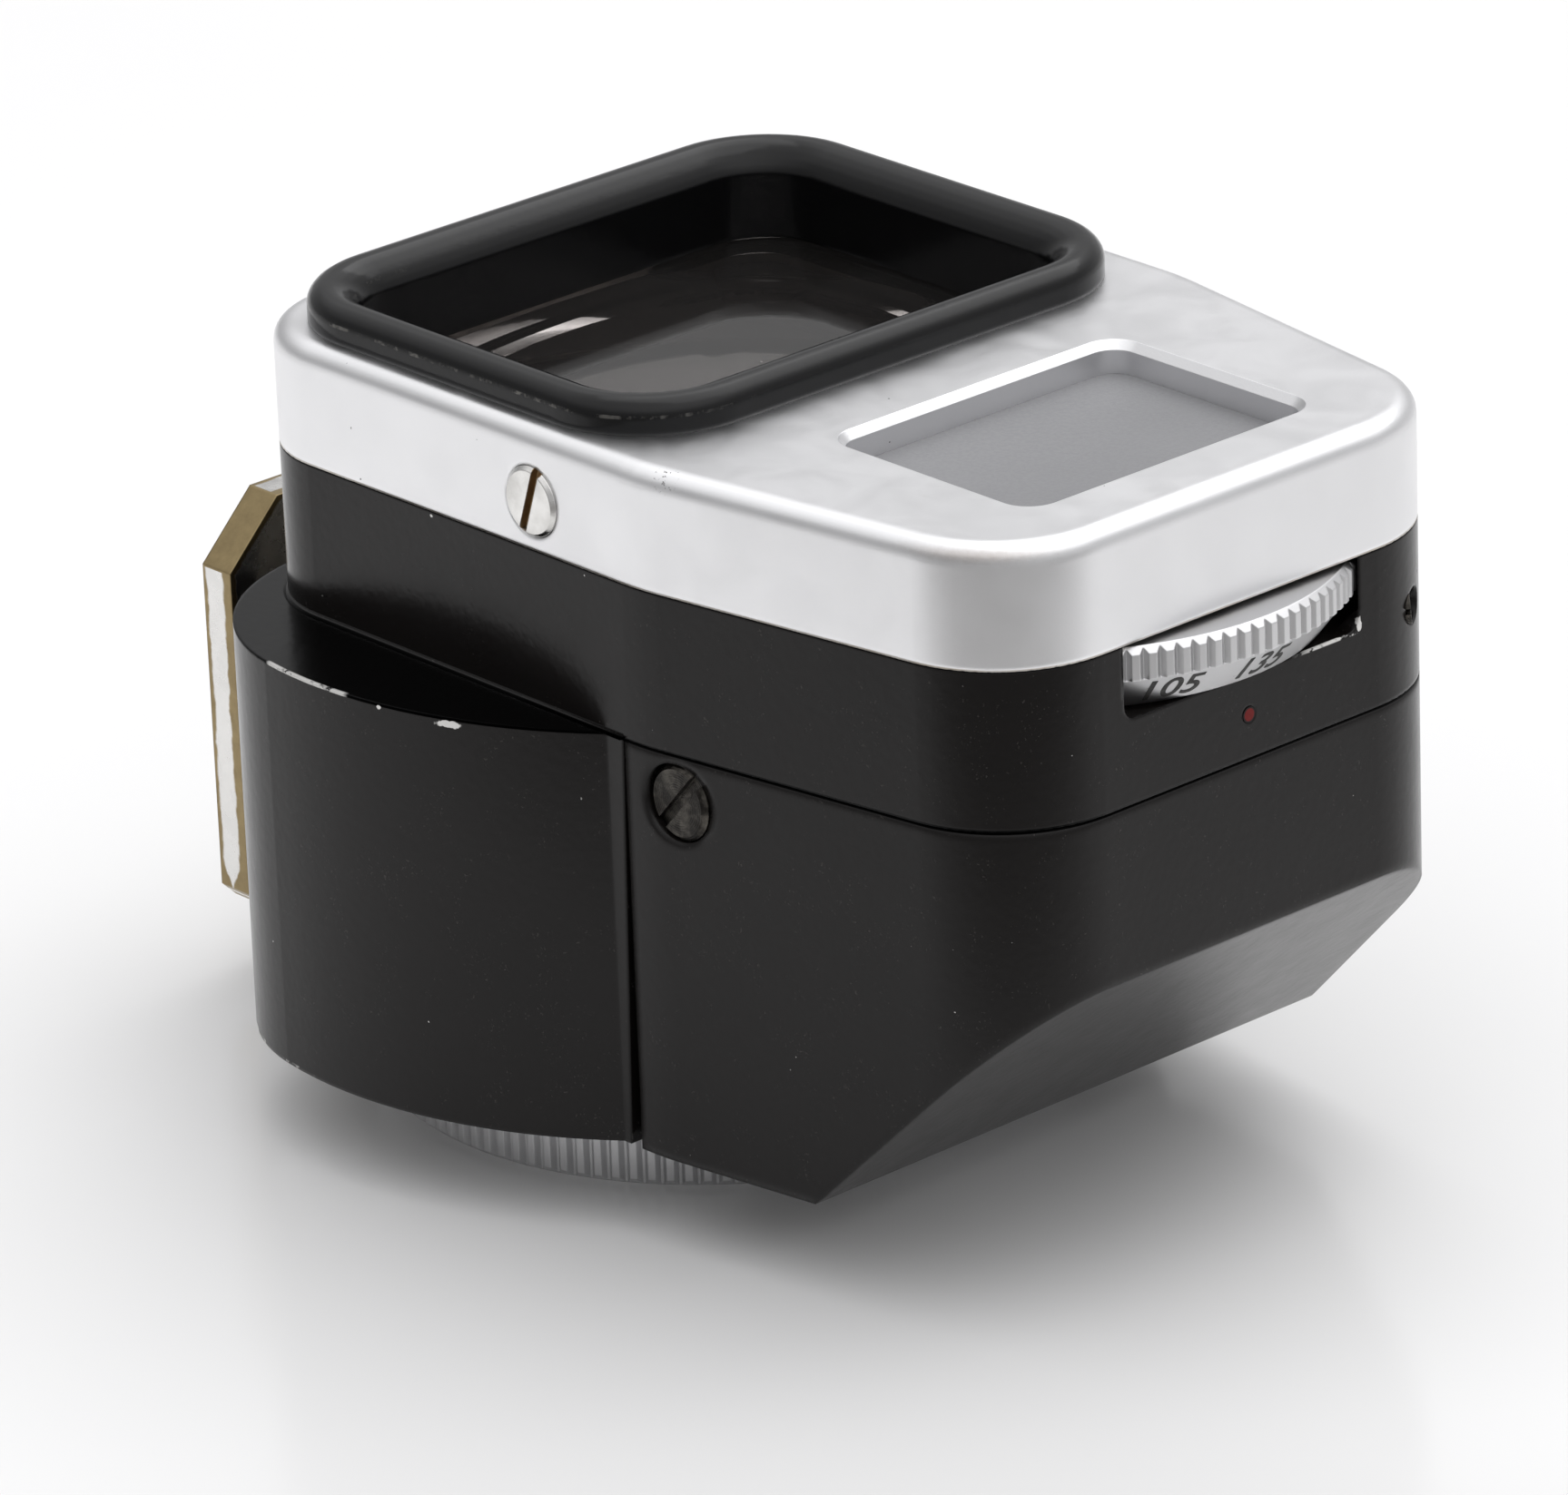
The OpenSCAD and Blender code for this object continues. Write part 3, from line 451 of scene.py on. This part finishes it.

# Nodes that take a look of their own: softer edges, crisp knurls darkened all over with painted
# shade, a dull casting
knurled_chrome_painted_shade = satin_chrome("knurled_chrome_painted_shade", 0.08, 0.3, 0.36, 0.76)
own_looks = {
    "rear_cover": black_enamel("cover_enamel", 0.6),
    "focal_dial": knurled_chrome_painted_shade,
    "parallax_ring": knurled_chrome_painted_shade,
    "foot_bracket": metal(
        "bracket_metal", (0.05, 0.045, 0.038), (0.12, 0.108, 0.088), 0.42, 5, 0.6
    ),
}

for part in frame["record"]["subparts"]:
    holder = nodes[part["node"]]
    holder.data.materials.clear()
    holder.data.materials.append(own_looks.get(part["node"], looks[part["material_slot"]]))


# ---------------------------------------------------------------- added pieces


def add_piece(name, mesh_data, look, body):
    """Links a bmesh in metres as a piece that rides on a CAD body."""
    bmesh.ops.recalc_face_normals(mesh_data, faces=mesh_data.faces)
    mesh = bpy.data.meshes.new(name)
    mesh_data.to_mesh(mesh)
    mesh_data.free()
    mesh.materials.append(look)
    piece = bpy.data.objects.new(name, mesh)
    scene.collection.objects.link(piece)
    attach(piece, body)
    return piece


def engraved_black():
    """Black wax in engraved figures, a little uneven."""
    s = Shader("engraved_black", (0.012, 0.011, 0.011), 0.5)
    s.set("Base Color", s.mix(s.noise(4, 3), (0.006, 0.006, 0.006), (0.035, 0.033, 0.03)))
    s.set("Roughness", s.mottle(6, 2, 0.5, 0.4, 0.6))
    s.set("Normal", s.bump(s.noise(9, 2), 0.01))
    return s.material


def dial_figure(text, degrees, look):
    """A focal length wrapped onto the dial's bevel, centred at an angle about the dial."""
    low_r, low_z = BEVEL_LOW
    slant = (Vector(BEVEL_TOP) - Vector(BEVEL_LOW)).normalized()
    centred, sunk, mean_up = 0.3, 0.018, 0.9
    curve = bpy.data.curves.new(f"figure_{text}", "FONT")
    curve.body = text
    curve.size = 1.8
    curve.shear = 0.16
    curve.align_x = "CENTER"
    curve.extrude = 0.03
    curve.offset = 0.02
    curve.resolution_u = 5
    holder = bpy.data.objects.new(f"figure_{text}", curve)
    scene.collection.objects.link(holder)
    flat = holder.evaluated_get(bpy.context.evaluated_depsgraph_get()).to_mesh()
    wrapped = bmesh.new()
    wrapped.from_mesh(flat)
    bpy.data.objects.remove(holder)
    bmesh.ops.remove_doubles(wrapped, verts=wrapped.verts, dist=1e-5)
    for v in wrapped.verts:
        along, up, out = v.co.x, v.co.y + centred, v.co.z - sunk
        r = low_r + slant.x * up + slant.y * out
        z = low_z + slant.y * up - slant.x * out
        a = math.radians(degrees) + along / (low_r + slant.x * mean_up)
        v.co = Vector((DIAL_X + r * math.cos(a), r * math.sin(a), z)) * MM
    add_piece(f"dial_figure_{text}", wrapped, look, "dial")


def ledge_fillet(side):
    """Cove of enamel where the middle band stands on the barrel's ledge."""
    cove, corner, sink = 0.2, 5.0, 0.03
    centre = (-11.7 + corner, -15 + corner)
    # Round the band's corner, then along its side: a centre and a direction out from it
    turns = [math.radians(180 + 90 * i / 24) for i in range(25)]
    path = [(centre, (math.cos(a), math.sin(a))) for a in turns]
    path += [((x, centre[1]), (0, -1)) for x in (0.0, 6.0, 12.0)]
    arc = [math.radians(180 + 90 * i / 8) for i in range(9)]
    section = [(-sink, cove)]
    section += [(cove + cove * math.cos(a), cove + cove * math.sin(a)) for a in arc]
    section += [(cove, -sink), (-sink, -sink)]
    made = bmesh.new()
    rings = []
    for (cx, cy), (nx, ny) in path:
        ring = []
        for out, up in section:
            away = corner + out
            place = Vector((cx + nx * away, side * (cy + ny * away), LEDGE_Z + up))
            ring.append(made.verts.new(place * MM))
        rings.append(ring)
    count = len(section)
    for one, two in zip(rings, rings[1:]):
        for i in range(count):
            j = (i + 1) % count
            face = made.faces.new((one[i], one[j], two[j], two[i]))
            face.smooth = 1 <= i <= len(arc) - 1
    made.faces.new(rings[0])
    made.faces.new(rings[-1])
    name = "ledge_fillet_" + ("near" if side > 0 else "far")
    piece = add_piece(name, made, looks["black_enamel"], "housing")


figures = engraved_black()
for number, text in enumerate(("135", "105", "85", "50")):
    dial_figure(text, -DIAL_STOP_DEG * number, figures)
for side in (1, -1):
    ledge_fillet(side)


# ---------------------------------------------------------------- stage


def floor():
    """A pale table top with painted shade beyond the picture, to the front and right, where the
    sides reflect it.
    """
    s = Shader("floor", (0.86, 0.86, 0.86), 0.35)
    s.set("Specular IOR Level", 0.4)
    pale = s.mix(s.noise(0.02, 3), (0.865, 0.862, 0.86), (0.88, 0.878, 0.876))
    # Distances in mm towards the photograph's front and right
    across, along = 0.749, 0.663
    front = s.math("SUBTRACT", s.math("MULTIPLY", s.x, across), s.math("MULTIPLY", s.y, along))
    right = s.math("ADD", s.math("MULTIPLY", s.x, along), s.math("MULTIPLY", s.y, across))
    # Painted shade: the table darkens towards the front and, less, towards the right
    painted_shade = s.most(s.ramp(front, 36, 90), s.ramp(right, 42, 110, 0, 0.25))
    s.set("Base Color", s.mix(painted_shade, pale, (0.25, 0.245, 0.24)))
    s.set("Roughness", s.mottle(0.05, 3, 0.5, 0.14, 0.2))
    mesh = bpy.data.meshes.new("studio_floor")
    made = bmesh.new()
    bmesh.ops.create_grid(made, x_segments=4, y_segments=4, size=FLOOR_HALF)
    made.to_mesh(mesh)
    made.free()
    mesh.materials.append(s.material)
    plane = bpy.data.objects.new("studio_floor", mesh)
    scene.collection.objects.link(plane)
    plane.location.z = -FLOOR_DROP


def softbox():
    """A large soft light overhead, a little behind the object."""
    light = bpy.data.lights.new("overhead", "AREA")
    light.shape = "RECTANGLE"
    light.size = light.size_y = SOFTBOX_SIDE
    light.energy = SOFTBOX_WATTS
    lamp = bpy.data.objects.new("overhead", light)
    scene.collection.objects.link(lamp)
    lamp.location = Vector(LIT_FROM) * SOFTBOX_AWAY
    towards = Vector(SOFTBOX_AIM) - lamp.location
    lamp.rotation_euler = towards.to_track_quat("-Z", "Y").to_euler()


def sky():
    """A white studio: bright above and behind to the right, dimmer low down and in front."""
    world = bpy.data.worlds.new("studio")
    scene.world = world
    world.use_nodes = True
    tree = world.node_tree
    way = tree.nodes.new("ShaderNodeTexCoord").outputs["Generated"]
    dot = tree.nodes.new("ShaderNodeVectorMath")
    dot.operation = "DOT_PRODUCT"
    tree.links.new(way, dot.inputs[0])
    dot.inputs[1].default_value = Vector(BRIGHT_SKY).normalized()
    split = tree.nodes.new("ShaderNodeSeparateXYZ")
    tree.links.new(way, split.inputs[0])

    def ramp(value, places):
        made = tree.nodes.new("ShaderNodeMapRange")
        made.interpolation_type = "SMOOTHSTEP"
        for place, number in enumerate(places, 1):
            made.inputs[place].default_value = number
        tree.links.new(value, made.inputs[0])
        return made.outputs[0]

    strength = tree.nodes.new("ShaderNodeMath")
    strength.operation = "MULTIPLY"
    tree.links.new(ramp(dot.outputs["Value"], (-0.6, 0.9, 0.85, 1.25)), strength.inputs[0])
    tree.links.new(ramp(split.outputs["Z"], (0.3, 0.75, 0.47, 1.18)), strength.inputs[1])
    back = tree.nodes["Background"]
    back.inputs["Color"].default_value = (0.99, 0.99, 1.0, 1)
    tree.links.new(strength.outputs[0], back.inputs["Strength"])


def studio():
    floor()
    sky()
    softbox()
    scene.view_settings.view_transform = "Standard"


def camera():
    """The photograph's viewpoint, with its slight roll."""
    data = bpy.data.cameras.new("photo_view")
    data.sensor_width = 36
    data.lens = LENS
    data.clip_start, data.clip_end = 0.01, 20
    eye = bpy.data.objects.new("photo_view", data)
    scene.collection.objects.link(eye)
    azimuth, elevation, roll = (math.radians(v) for v in (AZIMUTH, ELEVATION, ROLL))
    back = Vector(
        (
            math.sin(azimuth) * math.cos(elevation),
            -math.cos(azimuth) * math.cos(elevation),
            math.sin(elevation),
        )
    )
    right = (-back).cross(Vector((0, 0, 1))).normalized()
    up = right.cross(-back)
    rolled_right = right * math.cos(roll) + up * math.sin(roll)
    rolled_up = up * math.cos(roll) - right * math.sin(roll)
    place = Vector(TARGET) + rolled_right * SIDEWAYS + rolled_up * UPWARDS + back * BACKWARDS
    turn = Matrix((rolled_right, rolled_up, back)).transposed()
    eye.matrix_world = Matrix.Translation(place) @ turn.to_4x4()
    scene.camera = eye


studio()
camera()
